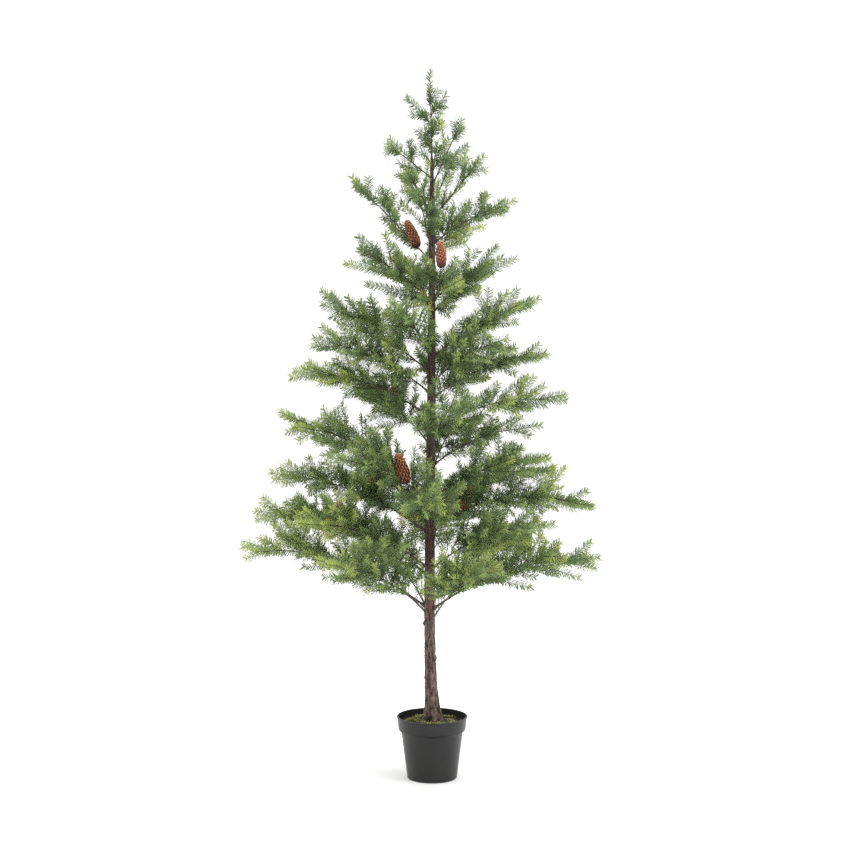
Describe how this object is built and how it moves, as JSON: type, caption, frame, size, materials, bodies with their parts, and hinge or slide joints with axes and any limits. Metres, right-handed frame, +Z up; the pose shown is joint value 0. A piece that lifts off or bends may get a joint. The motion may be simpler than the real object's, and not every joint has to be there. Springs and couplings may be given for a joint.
{
  "type": "potted artificial spruce tree",
  "caption": "Slender conical artificial spruce with tiers of airy needled boughs, a few cones and a bare trunk, in a weighted mossy nursery pot.",
  "frame": {"origin": "middle of the pot's flat underside, on the floor", "axes": "+Z up the trunk, -Y towards the viewer of the picture, +X to that viewer's right"},
  "size_m": [0.9396, 0.825, 1.83],
  "materials": {
    "needles": "satin moulded needles",
    "twig_bark": "matte",
    "bark": "rough bark",
    "pot_plastic": "satin",
    "moss": "moss glued on cement"
  },
  "bodies": {
    "root": {"bough_01_right": "twig_bark", "bough_02_back_right": "twig_bark", "bough_03_back_left": "twig_bark", "bough_04_left": "twig_bark", "bough_05_front_left": "twig_bark", "bough_06_front": "twig_bark", "bough_07_left": "twig_bark", "bough_08_front_left": "twig_bark", "bough_09_front_right": "twig_bark", "bough_10_back": "twig_bark", "foliage_01_right": "needles", "foliage_02_back_right": "needles", "foliage_03_back_left": "needles", "foliage_04_left": "needles", "foliage_05_front_left": "needles", "foliage_06_front": "needles", "foliage_07_left": "needles", "foliage_08_front_left": "needles", "foliage_09_front_right": "needles", "foliage_10_back": "needles", "foliage_11_right": "needles", "foliage_12_back_right": "needles", "foliage_13_left": "needles", "foliage_14_back_left": "needles", "foliage_15_front": "needles", "foliage_16_right": "needles", "foliage_17_left": "needles", "foliage_18_back": "needles", "foliage_19_front_left": "needles", "foliage_20_right": "needles", "foliage_21_right": "needles", "foliage_22_left": "needles", "foliage_23_back_left": "needles", "foliage_24_front": "needles", "foliage_25_right": "needles", "foliage_26_front_left": "needles", "foliage_27_back": "needles", "foliage_28_front_right": "needles", "foliage_29_right": "needles", "foliage_30_left": "needles", "foliage_31_front": "needles", "foliage_32_back_right": "needles", "foliage_33_front_left": "needles", "foliage_34_front": "needles", "foliage_35_back": "needles", "foliage_36_left": "needles", "foliage_37_right": "needles", "foliage_38_back": "needles", "foliage_39_front": "needles", "foliage_40_right": "needles", "foliage_41_front_left": "needles", "foliage_42_back_left": "needles", "foliage_43_front_right": "needles", "foliage_44_right": "needles", "foliage_45_left": "needles", "foliage_46_back": "needles", "foliage_47_leader": "needles", "pot": "pot_plastic", "pot_filler": "moss", "trunk": "bark"}
  },
  "joints": []
}
